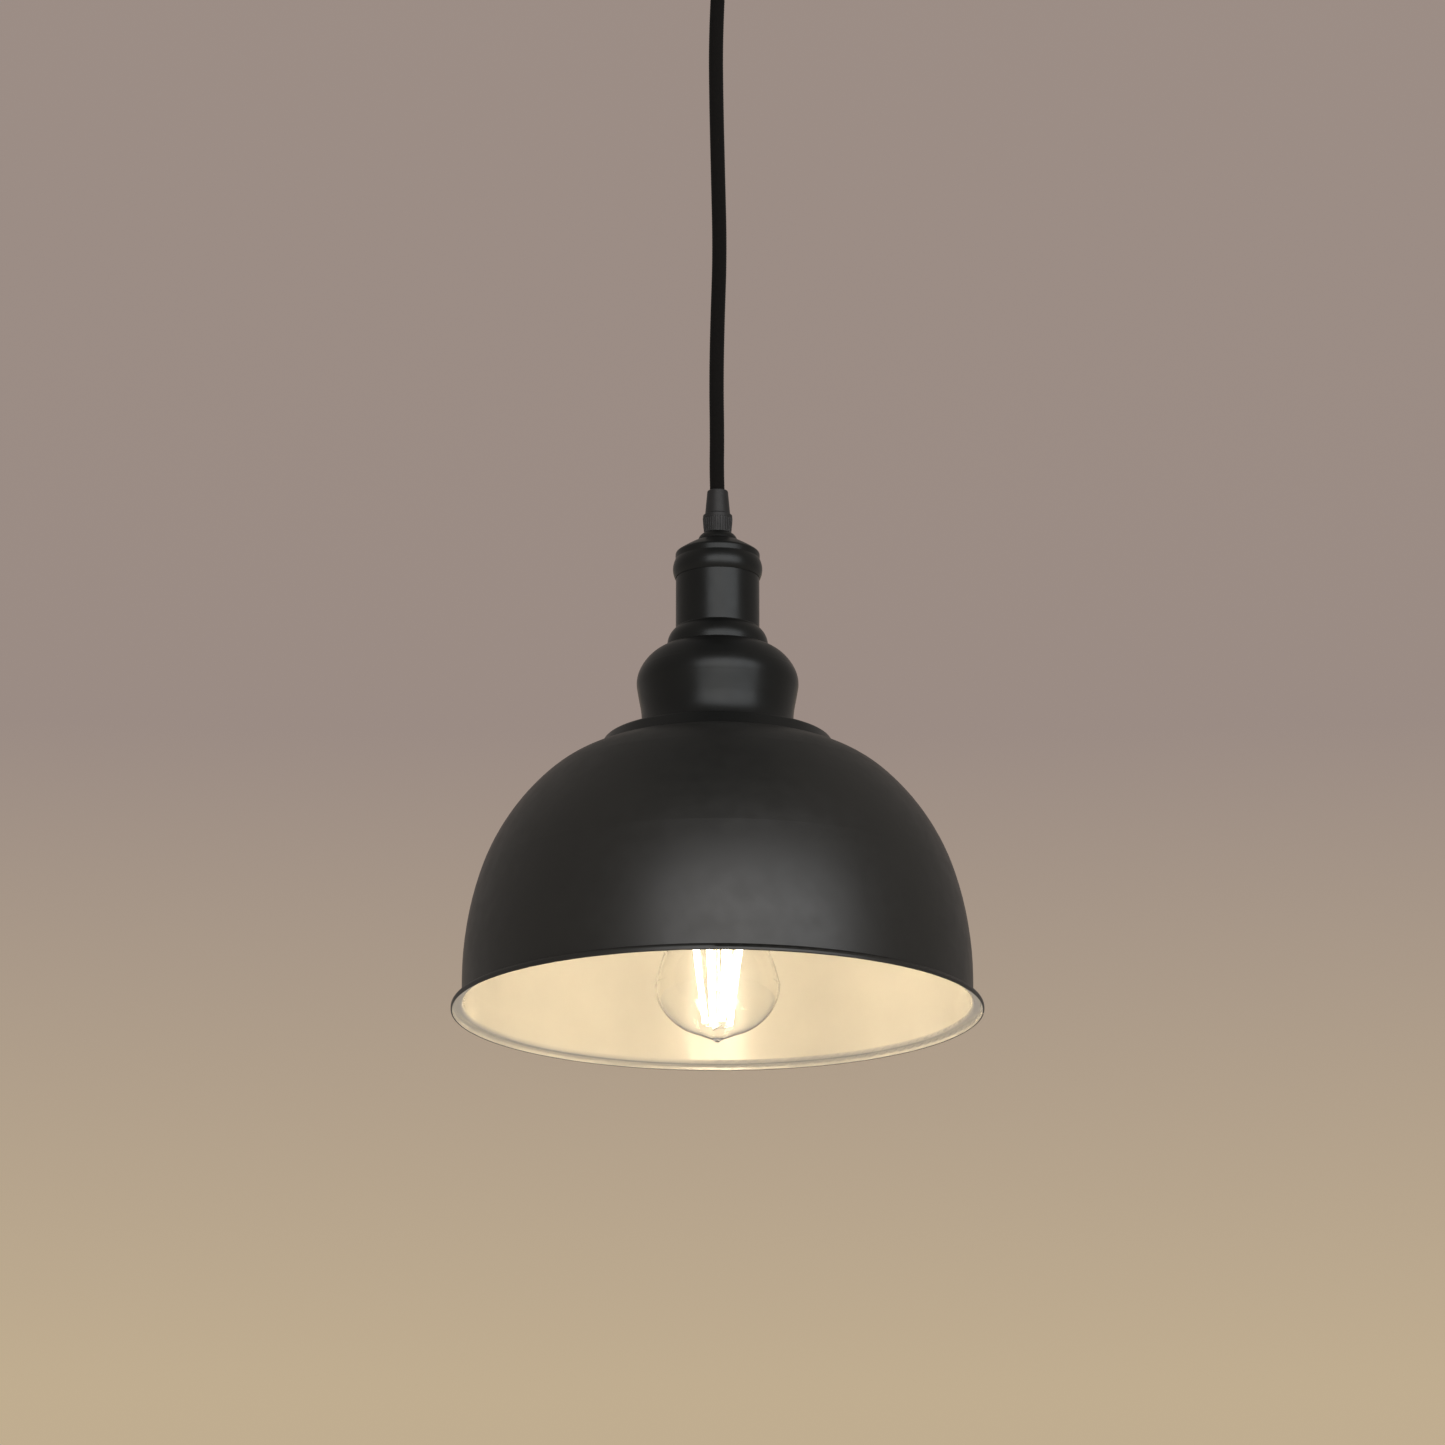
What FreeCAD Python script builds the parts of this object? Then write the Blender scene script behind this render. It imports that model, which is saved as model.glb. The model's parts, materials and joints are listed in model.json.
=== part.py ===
import FreeCAD, Part
import os
from math import acos, asin, cos, sin, tan, pi, radians, degrees, sqrt

# Pendant ceiling light, millimetres. +Z is up, the origin is on the ceiling plane at the centre of
# the strap's two slots. Heights named *_up are measured upwards from the shade's rim plane.

# Overall
clear = 0.1               # radial clearance of parts that slip together
turn_gap = 0.3            # gap between parts that move against each other

# Shade: a spun dome of four tangent arcs over a short straight wall, with a turned lip
shade_r = 118.2
shade_wall = 0.8
shade_straight = 11.7     # height of the straight wall
shade_arcs = ((159.5, 17.5), (107.0, 47.3), (62.9, 75.6), (255.8, 90.0))   # radius, end angle
hole_room = 6.0           # between the lampholder's ring and the hole in the dome's top
lip_width = 5.0           # the lip stands out from the wall by this
lip_bend = 1.6
lip_hem = 2.0             # radius of the lip's down-turned edge
lip_drop = 0.9            # straight end of the down-turned edge
lip_under_up = -1.2       # underside of the lip

# Neck: a bulbous shell whose turned-down flange stands on the dome; heights are above that seat
neck_wall = 1.0
neck_height = 50.5
neck_bulge_r = 38.0
neck_bulge_height = 34.1
neck_bulge_radius = 14.0
neck_shoulder_radius = 21.0
neck_shoulder_start = 22.0
neck_taper = -13.0
neck_waist_r = 35.6
neck_waist_height = 17.8
flange_r = 56.3
flange_lean = 2.3         # the flange's edge leans in by this
flange_height = 6.3
flange_rise = 1.6         # the flange rises by this towards the neck
flange_round = 2.4
stud_r = 2.0
stud_count = 3
stud_length = 10.5
stud_edge_gap = 1.7       # from a stud to the flange's rounded edge
shade_nut_flats = 7.0
shade_nut_height = 3.2

# Cord
cord_r = 3.5
wire_r = 0.9
bend_r = 3.4              # ball that stands for the bending stretch at the canopy
pivot_gap = 2.0           # pivot point below the canopy grip's mouth
cord_start = 1.8          # cord begins this far below the pivot
cord_seat = 4.0           # the cord enters the lamp's grip nut by this

# Threaded tube, M10 x 1 on a 7 mm cord, with its nut and washer
tube_bore_r = cord_r + 0.5
tube_wall = 1.0
nut_wall = 2.0
nut_height = 4.0
washer_width = 5.0
washer_height = 1.2

# Socket cover: sleeve with a flared skirt, and the beaded cap on it
sleeve_r = 19.7
sleeve_wall = 0.8
sleeve_height = 44.0
skirt_width = 4.0
skirt_edge = 2.6          # height of the skirt's plain lower edge
skirt_height = 10.6
cap_wall = 0.8
cap_band_step = 0.2       # the cap's band and bead stand out from the sleeve by these
cap_bead_step = 1.4
cap_bead_height = 9.2
cap_band_height = 2.4
cap_dome_height = 7.0
cap_corner = 1.6
cap_lap = 0.5             # the sleeve's end below the top of the cap's bead
collar_width = 4.5
collar_height = 3.7

# Cord grips: fluted body and conical nut, one on the lamp and one under the canopy
grip_body_height = 9.6
grip_wall = 1.4           # over the threaded tube
grip_band_step = 0.65
grip_band_up = 7.3
grip_top_step = 0.5
grip_chamfer = 0.7        # on the body's upper edge
grip_stud_wall = 0.9      # over the cord
grip_stud_height = 5.3
grip_thread = 7.0         # depth of the body's own thread
grip_nut_height = 11.7
grip_nut_wall = 1.55      # over the stud
grip_mouth_wall = 1.45     # over the cord
grip_edge = 0.7
flutes = 36
flute_r = 0.35

# Canopy and ceiling strap
canopy_room = 3.0         # between the strap's ends and the outside of the canopy
canopy_depth = 26.0
canopy_wall = 1.0
canopy_round = 8.0
ceiling_gap = 0.3         # canopy rim below the ceiling, so that the strap seats first
strap_end = 7.0           # from a slot's end to the strap's end
strap_width = 20.0
strap_thick = 1.5
strap_tab = 15.0
slot_length = 20.0
slot_r = 2.25
side_screw_r = 1.9
side_screw_head_r = 4.0
side_screw_head = 3.0
side_screw_drop = 9.0
earth_room = 8.0          # between the terminal block and a slot
earth_screw_r = 1.9
block_length = 24.0
block_depth = 16.0
block_height = 11.0
block_pitch = 8.0
block_bore_r = 1.5
block_bore_up = 4.0
nipple_reach = 6.5        # into the canopy's cord grip
nipple_rise = 8.0         # above the canopy's floor

# Lampholder E27, its mouth a distance below the neck's top
mouth_drop = 77.0
holder_r = 19.5
holder_wall = 3.0
holder_height = 40.0
holder_dome_height = 22.0
holder_dome_wall = 2.4
ring_width = 4.5
ring_height = 8.0
ring_up = 9.0
insert_height = 9.0
insert_depth = 4.5        # below the top of the holder's body
shell_bore_r = 13.5
shell_wall = 0.7
terminal_inset = 9.0
terminal_r = 1.6

# Bulb ST58 with the E27 thread
pitch = 3.629
crest_gap = 0.45          # from the shell's bore to the bulb's thread crest
ridge_gap = 0.25          # from the shell's thread ridge to the bulb's root
ridge_depth = 0.95        # of the shell's thread ridge
bulb_length = 137.0
bulb_r = 29.0
bulb_wide = 26.9          # height of the widest place above the tip
glass_wall = 0.7
cap_height = 20.0
cap_rise = 1.5            # foot of the screw cap above the holder's mouth
seat_up = 25.5            # top of the bulb's contact above the holder's mouth
tip_height = 2.9
stick_r = 1.4
stick_turn = 20.0         # angle of the first filament from +X
stick_low_r = 6.0         # filaments: radius and height above the tip of their ends
stick_low_height = 8.9
stick_high_r = 13.0
stick_high_height = 60.9
stick_count = 4

# Free cord, from the canopy to the lamp: points chosen by hand, heights from the cord's upper end
cord_points = (
    (0.0, 0.0, 0.0),
    (-1.0, 0.3, -22.9),
    (-0.7, 0.5, -54.9),
    (0.1, 0.2, -91.9),
    (1.05, -0.3, -132.9),
    (-0.1, -0.5, -167.9),
    (-0.65, -0.2, -198.9),
    (-0.25, 0.2, -226.9),
    (-0.5, 0.1, -244.9),
    (0.0, 0.0, -257.6),
)

# Radii that follow from the sizes
lip_r = shade_r + lip_width
tube_r = tube_bore_r + tube_wall
bore_r = tube_r + clear
nut_flats = 2 * (tube_r + nut_wall)
washer_r = tube_r + washer_width
grip_base_r = tube_r + grip_wall
grip_band_r = grip_base_r + grip_band_step
grip_top_r = grip_base_r + grip_top_step
grip_stud_r = cord_r + grip_stud_wall
grip_nut_r = grip_stud_r + grip_nut_wall
grip_mouth_r = cord_r + grip_mouth_wall
skirt_r = sleeve_r + skirt_width
cap_band_r = sleeve_r + cap_band_step
cap_bead_r = sleeve_r + cap_bead_step
collar_r = tube_r + collar_width
collar_top_r = grip_base_r + 0.3
ring_r = holder_r + ring_width
shade_hole_r = ring_r + hole_room
stud_circle_r = flange_r - flange_lean - flange_round - stud_edge_gap - stud_r
terminal_circle_r = holder_r - terminal_inset
thread_crest_r = shell_bore_r - crest_gap
thread_inner_r = shell_bore_r - ridge_depth
thread_root_r = thread_inner_r - ridge_gap
glass_neck_r = thread_crest_r
slot_spacing = block_length + 2 * earth_room + slot_length
strap_half = (slot_spacing + slot_length) / 2 + strap_end
canopy_r = strap_half + canopy_room
earth_screw_x = (block_length + earth_room) / 2


def at(r, z, y=0.0):
    return FreeCAD.Vector(r, y, z)


def ring_point(centre, radius, angle):
    return at(centre[0] + radius * cos(radians(angle)), centre[1] + radius * sin(radians(angle)))


class Outline:
    """A closed outline in the XZ plane, drawn edge by edge and turned about Z."""

    def __init__(self, r, z):
        self.first = at(r, z)
        self.last = self.first
        self.edges = []

    def line(self, r, z):
        end = at(r, z)
        if end.distanceToPoint(self.last) > 1e-6:
            self.edges.append(Part.LineSegment(self.last, end).toShape())
            self.last = end
        return self

    def arc(self, via, end):
        self.edges.append(Part.Arc(self.last, at(*via), at(*end)).toShape())
        self.last = at(*end)
        return self

    def swing(self, centre, radius, start, end):
        """An arc about a centre between two angles; the pen moves to its start first."""
        first = ring_point(centre, radius, start)
        self.line(first.x, first.z)
        middle = ring_point(centre, radius, (start + end) / 2)
        last = ring_point(centre, radius, end)
        return self.arc((middle.x, middle.z), (last.x, last.z))

    def curve(self, points):
        """A smooth curve through the points, from the pen onwards."""
        spline = Part.BSplineCurve()
        spline.interpolate([self.last] + [at(*p) for p in points])
        self.edges.append(spline.toShape())
        self.last = at(*points[-1])
        return self

    def turn(self, rise=0.0):
        self.line(self.first.x, self.first.z)
        face = Part.Face(Part.Wire(self.edges))
        solid = face.revolve(at(0, 0), at(0, 1), 360)
        solid.translate(at(0, rise))
        return solid


def bored(bottom, top, outer, inner):
    """A plain ring or tube between two heights."""
    body = Part.makeCylinder(outer, top - bottom, at(0, bottom))
    return body.cut(Part.makeCylinder(inner, top - bottom + 2, at(0, bottom - 1)))


def hexagon(flats, bottom, height, bore):
    corner = flats / sqrt(3.0)
    points = [at(corner * cos(pi * k / 3), bottom, corner * sin(pi * k / 3)) for k in range(7)]
    prism = Part.Face(Part.makePolygon(points)).extrude(at(0, height))
    return prism.cut(Part.makeCylinder(bore, height + 2, at(0, bottom - 1)))


def around(shape, count, start=0.0):
    """Copies of a shape spaced evenly about Z."""
    copies = []
    for k in range(count):
        copy = shape.copy()
        copy.rotate(at(0, 0), at(0, 1), start + 360.0 * k / count)
        copies.append(copy)
    return copies


def route_edges(points, report=""):
    """Straight runs joined by tangent arcs, each arc as large as its two runs allow."""
    spots = [FreeCAD.Vector(*p) for p in points]
    edges = []
    pen = spots[0]
    radii = []
    for before, corner, after in zip(spots, spots[1:], spots[2:]):
        back = before - corner
        on = after - corner
        half_turn = (pi - back.getAngle(on)) / 2
        trim = 0.45 * min(back.Length, on.Length)
        radii.append(trim / tan(half_turn))
        back.normalize()
        on.normalize()
        start = corner + back * trim
        end = corner + on * trim
        inward = back + on
        inward.normalize()
        centre = corner + inward * (radii[-1] / cos(half_turn))
        middle = centre - inward * radii[-1]
        edges.append(Part.LineSegment(pen, start).toShape())
        edges.append(Part.Arc(start, middle, end).toShape())
        pen = end
    edges.append(Part.LineSegment(pen, spots[-1]).toShape())
    if report:
        print(report, "arc radii:", ", ".join("%.0f" % r for r in radii))
    return edges


def swept(points, radius, report=""):
    edges = route_edges(points, report)
    path = Part.Wire(edges)
    along = FreeCAD.Vector(*points[1]) - FreeCAD.Vector(*points[0])
    section = Part.Wire(Part.makeCircle(radius, FreeCAD.Vector(*points[0]), along))
    solid = path.makePipeShell([section], True, False)
    if report:
        ideal = pi * radius**2 * path.Length
        print(report, "length %.1f, volume ratio %.4f" % (path.Length, solid.Volume / ideal))
    return solid


# Shade and neck

def dome_arcs(offset):
    """Centre, radius, start and end angle of each arc of the dome, offset inwards."""
    arcs = []
    centre = (shade_r - shade_arcs[0][0], shade_straight)
    start = 0.0
    for k, (radius, end) in enumerate(shade_arcs):
        arcs.append((centre, radius - offset, start, end))
        if k + 1 < len(shade_arcs):
            step = radius - shade_arcs[k + 1][0]
            centre = (centre[0] + step * cos(radians(end)), centre[1] + step * sin(radians(end)))
            start = end
    return arcs


def dome_height(r):
    """Height of the dome's outer face at a radius on its two top arcs."""
    centre, radius, start = dome_arcs(0.0)[-1][:3]
    shoulder, shoulder_radius = dome_arcs(0.0)[-2][:2]
    if r > centre[0] + radius * cos(radians(start)):
        return shoulder[1] + sqrt(shoulder_radius**2 - (r - shoulder[0]) ** 2)
    return centre[1] + sqrt(radius**2 - (r - centre[0]) ** 2)


# Heights that follow from the sizes: above the shade's rim plane, or from the ceiling
grip_height = grip_body_height + grip_nut_height
neck_seat = dome_height(flange_r)
neck_top_up = neck_seat + neck_height
neck_bulge_up = neck_seat + neck_bulge_height
neck_waist_up = neck_seat + neck_waist_height
flange_top_up = neck_seat + flange_height
sleeve_foot = neck_top_up + clear
sleeve_top = sleeve_foot + sleeve_height
cap_foot = sleeve_top - cap_bead_height + cap_lap
cap_step = cap_foot + cap_bead_height
cap_shoulder = cap_step + cap_band_height
cap_top = cap_shoulder + cap_dome_height
grip_foot = cap_top + collar_height
tube_top = grip_foot + grip_thread - 0.5
mouth_up = neck_top_up - mouth_drop
body_top = mouth_up + holder_height
insert_top = body_top - insert_depth
insert_foot = insert_top - insert_height
holder_top = body_top + holder_dome_height
tube_foot = holder_top - 6.0
tail_end = holder_top - 8.0
contact_up = mouth_up + seat_up
screw_foot = mouth_up + cap_rise
screw_top = screw_foot + cap_height
bulb_tip_up = contact_up - bulb_length
bulb_wide_up = bulb_tip_up + bulb_wide
stick_low = (stick_low_r, bulb_tip_up + stick_low_height)
stick_high = (stick_high_r, bulb_tip_up + stick_high_height)
pivot_z = -(canopy_depth + grip_height + pivot_gap)
cord_top_z = pivot_z - cord_start
cord_end_z = cord_top_z + cord_points[-1][2]
rim_drop = grip_foot + grip_height - cord_seat - cord_end_z
canopy_tail_top = nipple_rise - canopy_depth


def lifted(shape):
    """Moves a shape drawn in heights above the rim to its place under the ceiling."""
    shape.translate(at(0, -rim_drop))
    return shape


def make_shade():
    under = lip_under_up
    top = under + shade_wall
    inner = shade_r - shade_wall
    hem = (lip_r - lip_hem, top - lip_hem)
    edge = hem[1] - lip_drop
    line = Outline(inner, shade_straight)
    line.line(inner, under + lip_bend)
    line.swing((inner + lip_bend, under + lip_bend), lip_bend, 180, 270)
    line.swing(hem, lip_hem - shade_wall, 90, 0)
    line.line(lip_r - shade_wall, edge)
    line.arc((lip_r - shade_wall / 2, edge - shade_wall / 2), (lip_r, edge))
    line.swing(hem, lip_hem, 0, 90)
    small = lip_bend - shade_wall
    line.swing((inner + lip_bend, top + small), small, 270, 180)
    line.line(shade_r, shade_straight)
    outer_arcs = dome_arcs(0.0)
    for centre, radius, start, end in outer_arcs[:-1]:
        line.swing(centre, radius, start, end)
    centre, radius, start = outer_arcs[-1][:3]
    line.swing(centre, radius, start, degrees_at(centre, radius, shade_hole_r))
    centre, radius, start = dome_arcs(shade_wall)[-1][:3]
    line.swing(centre, radius, degrees_at(centre, radius, shade_hole_r), start)
    for centre, radius, start, end in reversed(dome_arcs(shade_wall)[:-1]):
        line.swing(centre, radius, end, start)
    shade = line.turn()
    hole = Part.makeCylinder(stud_r + 2 * clear, 20, at(stud_circle_r, dome_height(stud_circle_r) - 10))
    for cut in around(hole, stud_count, 90):
        shade = shade.cut(cut)
    return lifted(shade)


def degrees_at(centre, radius, r):
    """Angle on a circle at which it stands at radius r from the axis."""
    return degrees(acos((r - centre[0]) / radius))


def neck_arcs(offset):
    """Bulge and shoulder arcs of the neck, offset inwards: centre, radius, start, end."""
    centre = (neck_bulge_r - neck_bulge_radius, neck_bulge_up)
    step = neck_bulge_radius - neck_shoulder_radius
    shoulder = (centre[0] + step * cos(radians(neck_shoulder_start)),
                centre[1] + step * sin(radians(neck_shoulder_start)))
    radius = neck_shoulder_radius - offset
    end = degrees(asin((neck_top_up - offset - shoulder[1]) / radius))
    return ((centre, neck_bulge_radius - offset, neck_taper, neck_shoulder_start),
            (shoulder, radius, neck_shoulder_start, end))


def neck_foot_points(offset):
    """Points of the neck's waist, from under the bulge down to the flange."""
    centre, radius, start, end = neck_arcs(offset)[0]
    low = ring_point(centre, radius, start)
    waist = (neck_waist_r - offset, neck_waist_up)
    lean = (waist[0] + 0.42 * (low.x - waist[0]), (waist[1] + low.z) / 2)
    foot = (neck_waist_r + 1.4 - offset, flange_top_up + 2 * flange_rise)
    return [(low.x, low.z), lean, waist, foot]


def make_neck():
    base = flange_top_up + flange_rise
    rounded = flange_r - flange_lean
    edge_foot = neck_seat + 0.05
    low_edge = flange_top_up - flange_round
    line = Outline(bore_r, neck_top_up)
    bulge, shoulder = neck_arcs(0.0)
    line.swing(shoulder[0], shoulder[1], shoulder[3], shoulder[2])
    line.swing(bulge[0], bulge[1], bulge[3], bulge[2])
    line.curve(neck_foot_points(0.0)[1:])
    line.arc((neck_waist_r + 1.9, base + 0.5), (neck_waist_r + 3.0, base))
    line.line(rounded - flange_round, flange_top_up)
    line.swing((rounded - flange_round, low_edge), flange_round, 90, 28)
    line.line(flange_r, edge_foot)
    line.line(flange_r - neck_wall, edge_foot + 0.5 * neck_wall)
    line.line(rounded - neck_wall, low_edge)
    line.line(rounded - flange_round - 0.3, flange_top_up - neck_wall)
    line.line(neck_waist_r + 3.0 - neck_wall / 2, base - neck_wall)
    line.line(neck_waist_r + 0.4, base)
    points = neck_foot_points(neck_wall)
    line.line(*points[-1])
    line.curve(list(reversed(points[:-1])))
    bulge, shoulder = neck_arcs(neck_wall)
    line.swing(*bulge)
    line.swing(*shoulder)
    line.line(bore_r, neck_top_up - neck_wall)
    return lifted(line.turn())


def flange_under(r):
    """Height of the flange's underside at a radius."""
    inner = (neck_waist_r + 3.0 - neck_wall / 2, flange_top_up + flange_rise - neck_wall)
    outer = (flange_r - flange_lean - flange_round - 0.3, flange_top_up - neck_wall)
    return inner[1] + (outer[1] - inner[1]) * (r - inner[0]) / (outer[0] - inner[0])


def make_neck_studs():
    top = flange_under(stud_circle_r + stud_r) - 0.05
    stud = Part.makeCylinder(stud_r, stud_length, at(stud_circle_r, top - stud_length))
    return [lifted(s) for s in around(stud, stud_count, 90)]


def washer_top():
    """The shade's inner face is lowest at the washer's outer edge."""
    return dome_height(stud_circle_r + shade_nut_flats / 2 + 1.0) - shade_wall - 0.2


def make_shade_washers():
    top = washer_top()
    washer = bored(top - shade_wall, top, shade_nut_flats / 2 + 0.9, stud_r + clear)
    washer.translate(at(stud_circle_r, 0))
    return [lifted(w) for w in around(washer, stud_count, 90)]


def make_shade_nuts():
    low = washer_top() - shade_wall - 0.05 - shade_nut_height
    nut = hexagon(shade_nut_flats, low, shade_nut_height, stud_r + clear)
    nut.translate(at(stud_circle_r, 0))
    return [lifted(n) for n in around(nut, stud_count, 90)]


# Socket cover and the stack above it

def make_sleeve():
    foot = sleeve_foot
    edge = foot + skirt_edge
    neck = foot + skirt_height
    inner = sleeve_r - sleeve_wall
    line = Outline(skirt_r, foot)
    line.line(skirt_r, edge)
    line.arc((sleeve_r + 0.72 * skirt_width, edge + 0.55 * (neck - edge)), (sleeve_r + 0.25, neck - 0.5))
    line.line(sleeve_r, neck)
    line.line(sleeve_r, sleeve_top)
    line.line(inner, sleeve_top)
    line.line(inner, foot)
    return lifted(line.turn())


def make_cap():
    bead_mid = cap_foot + cap_bead_height / 2
    inner = sleeve_r + clear
    crown = (cap_band_r - cap_corner, cap_shoulder)
    waist = (collar_r + 2.5, cap_top - 0.18 * cap_dome_height)
    line = Outline(inner, cap_foot)
    line.line(inner + 0.15, cap_foot)
    line.arc((cap_bead_r, bead_mid), (cap_band_r + 0.05, cap_step))
    line.line(cap_band_r, cap_step + 0.3)
    line.line(cap_band_r, cap_shoulder)
    line.swing(crown, cap_corner, 0, 62)
    line.curve([waist, (collar_r, cap_top)])
    line.line(bore_r, cap_top)
    line.line(bore_r, cap_top - cap_wall)
    line.line(collar_r, cap_top - cap_wall)
    line.curve([(waist[0], waist[1] - cap_wall), (crown[0] - 0.3, cap_shoulder + 0.6)])
    line.line(cap_band_r - cap_wall, cap_shoulder - 0.4)
    line.line(cap_band_r - cap_wall, sleeve_top + clear)
    line.line(inner, sleeve_top + clear)
    return lifted(line.turn())


def make_collar():
    foot = cap_top + 0.02
    top = cap_top + collar_height - 0.02
    line = Outline(bore_r, foot)
    line.line(collar_r - 0.1, foot)
    middle_r = collar_top_r + 0.72 * (collar_r - collar_top_r)
    line.arc((middle_r, foot + 0.5 * collar_height), (collar_top_r, top))
    line.line(bore_r, top)
    return lifted(line.turn())


def make_threaded_tube():
    return lifted(bored(tube_foot, tube_top, tube_r, tube_bore_r))


def make_stack_washer():
    top = neck_top_up - neck_wall - clear
    return lifted(bored(top - washer_height, top, washer_r, bore_r))


def make_lock_nut():
    top = neck_top_up - neck_wall - washer_height - 2 * clear
    return lifted(hexagon(nut_flats, top - nut_height, nut_height, bore_r))


# Cord grips

def grip_body():
    """Fluted body standing on z = 0, its stud pointing up."""
    stud_top = grip_body_height + grip_stud_height
    cord_bore = cord_r + clear
    line = Outline(bore_r, 0)
    line.line(grip_base_r, 0)
    line.arc((0.5 * (grip_base_r + grip_band_r) + 0.05, grip_band_up / 2), (grip_band_r, grip_band_up))
    line.line(grip_top_r, grip_body_height - grip_chamfer)
    line.line(grip_top_r - grip_chamfer, grip_body_height - clear)
    line.line(grip_stud_r, grip_body_height - clear)
    line.line(grip_stud_r, stud_top)
    line.line(cord_bore, stud_top)
    line.line(cord_bore, grip_thread)
    line.line(bore_r, grip_thread)
    body = line.turn()
    lean = degrees((grip_band_r - grip_base_r) / grip_band_up)
    flute = Part.makeCylinder(flute_r, grip_band_up + 1.0, at(grip_base_r, -1.0))
    flute.rotate(at(grip_base_r, 0), FreeCAD.Vector(0, 1, 0), lean)
    return body.cut(Part.makeCompound(around(flute, flutes)))


def grip_nut():
    """Conical nut on the body, z = 0 at the body's foot."""
    foot = grip_body_height
    top = foot + grip_nut_height
    floor = foot + grip_stud_height + 0.6
    thread = grip_stud_r + clear
    mouth = cord_r + turn_gap + 0.05
    line = Outline(thread, foot)
    line.line(grip_nut_r, foot)
    line.line(grip_mouth_r, top - grip_edge)
    line.swing((grip_mouth_r - grip_edge, top - grip_edge), grip_edge, 0, 90)
    line.line(mouth, top)
    line.line(mouth, floor)
    line.line(thread, floor)
    return line.turn()


def on_lamp(shape):
    shape.translate(at(0, grip_foot))
    return lifted(shape)


def under_canopy(shape):
    shape.rotate(at(0, 0), at(1, 0), 180)
    shape.translate(at(0, -canopy_depth))
    return shape


# Cords and conductors

def make_cord():
    points = [(x, y, z + cord_top_z) for x, y, z in cord_points]
    cord = swept(points, cord_r, "cord")
    return cord.cut(Part.makeSphere(bend_r + 0.2, at(0, pivot_z)))


def make_cord_bend():
    return Part.makeSphere(bend_r, at(0, pivot_z))


def make_canopy_tail():
    foot = pivot_z + pivot_gap + 0.2
    tail = Part.makeCylinder(cord_r, canopy_tail_top - foot, at(0, foot))
    return tail.cut(Part.makeSphere(bend_r + 0.4, at(0, pivot_z)))


def make_lamp_tail():
    top = grip_foot + grip_height - cord_seat - 0.4
    return lifted(Part.makeCylinder(cord_r, top - tail_end, at(0, tail_end)))


def lamp_wire(angle):
    """A conductor from the end of the cord down to its terminal on the holder's insert."""
    foot = insert_top + 0.1
    rise = tail_end - foot
    path = [(1.6, 0, tail_end - 0.2), (2.4, 0, tail_end - 0.22 * rise),
            (terminal_circle_r - 2.5, 0, tail_end - 0.55 * rise),
            (terminal_circle_r, 0, tail_end - 0.8 * rise), (terminal_circle_r + 0.2, 0, foot)]
    wire = swept(path, wire_r)
    wire.rotate(at(0, 0), at(0, 1), angle)
    return lifted(wire)


def ceiling_wire(index):
    """A conductor from the cord's end up into one pole of the terminal block."""
    x = (index - 1) * block_pitch
    top = canopy_tail_top
    pole = block_bore_up - strap_thick - block_height
    half = block_depth / 2
    path = [(1.9 * wire_r * (index - 1), -1.0, top + 0.9), (x * 0.35, -3.0, top + 2.6),
            (x * 0.8, -half - 0.6, top + 3.4), (x, -half - 4.8, pole - 3.7),
            (x, -half - 3.4, pole), (x, -half + 3.0, pole)]
    return swept(path, wire_r)


# Canopy and strap

def sideways(side):
    return FreeCAD.Vector(side, 0, 0)


def make_slot(middle):
    reach = slot_length / 2 - slot_r
    depth = 3 * strap_thick
    low = -2 * strap_thick
    slot = Part.makeBox(2 * reach, 2 * slot_r, depth, at(middle - reach, low, -slot_r))
    for end in (-reach, reach):
        slot = slot.fuse(Part.makeCylinder(slot_r, depth, at(middle + end, low)))
    return slot


def make_strap():
    plate = Part.makeBox(2 * strap_half, strap_width, strap_thick,
                         at(-strap_half, -strap_thick, -strap_width / 2))
    for side in (-1, 1):
        low_x = -strap_half if side < 0 else strap_half - strap_thick
        tab = Part.makeBox(strap_thick, strap_width - 4.0, strap_tab,
                           at(low_x, -strap_tab, -strap_width / 2 + 2.0))
        hole = Part.makeCylinder(side_screw_r + clear, 10.0,
                                 at(side * (strap_half - 5.0), -side_screw_drop), sideways(side))
        plate = plate.fuse(tab).cut(hole)
        plate = plate.cut(make_slot(side * slot_spacing / 2))
    seat = at(earth_screw_x, -2 * strap_thick)
    earth_hole = Part.makeCylinder(earth_screw_r + clear, 3 * strap_thick, seat)
    return plate.cut(earth_hole).removeSplitter()


def make_canopy():
    low = -canopy_depth
    corner = (canopy_r - canopy_round, low + canopy_round)
    line = Outline(canopy_r - canopy_wall, -ceiling_gap)
    line.line(canopy_r, -ceiling_gap)
    line.swing(corner, canopy_round, 0, -90)
    line.line(bore_r, low)
    line.line(bore_r, low + canopy_wall)
    line.swing(corner, canopy_round - canopy_wall, -90, 0)
    canopy = line.turn()
    for side in (-1, 1):
        hole = Part.makeCylinder(side_screw_r + clear, 10.0,
                                 at(side * (canopy_r - 5.0), -side_screw_drop), sideways(side))
        canopy = canopy.cut(hole)
    return canopy


def make_canopy_screws():
    screws = []
    reach = canopy_room + strap_thick + 3.0
    for side in (-1, 1):
        seat = at(side * (canopy_r + 0.05), -side_screw_drop)
        head = Part.makeCylinder(side_screw_head_r, side_screw_head, seat, sideways(side))
        shank = Part.makeCylinder(side_screw_r, reach, seat, sideways(-side))
        screws.append(head.fuse(shank).removeSplitter())
    return screws


def make_earth_screw():
    ring_foot = -strap_thick - 0.9
    shank = Part.makeCylinder(earth_screw_r, 7.0, at(earth_screw_x, -strap_thick - 6.0))
    head = Part.makeCylinder(3.2, 2.2, at(earth_screw_x, ring_foot - 2.4))
    return shank.fuse(head).removeSplitter()


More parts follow.
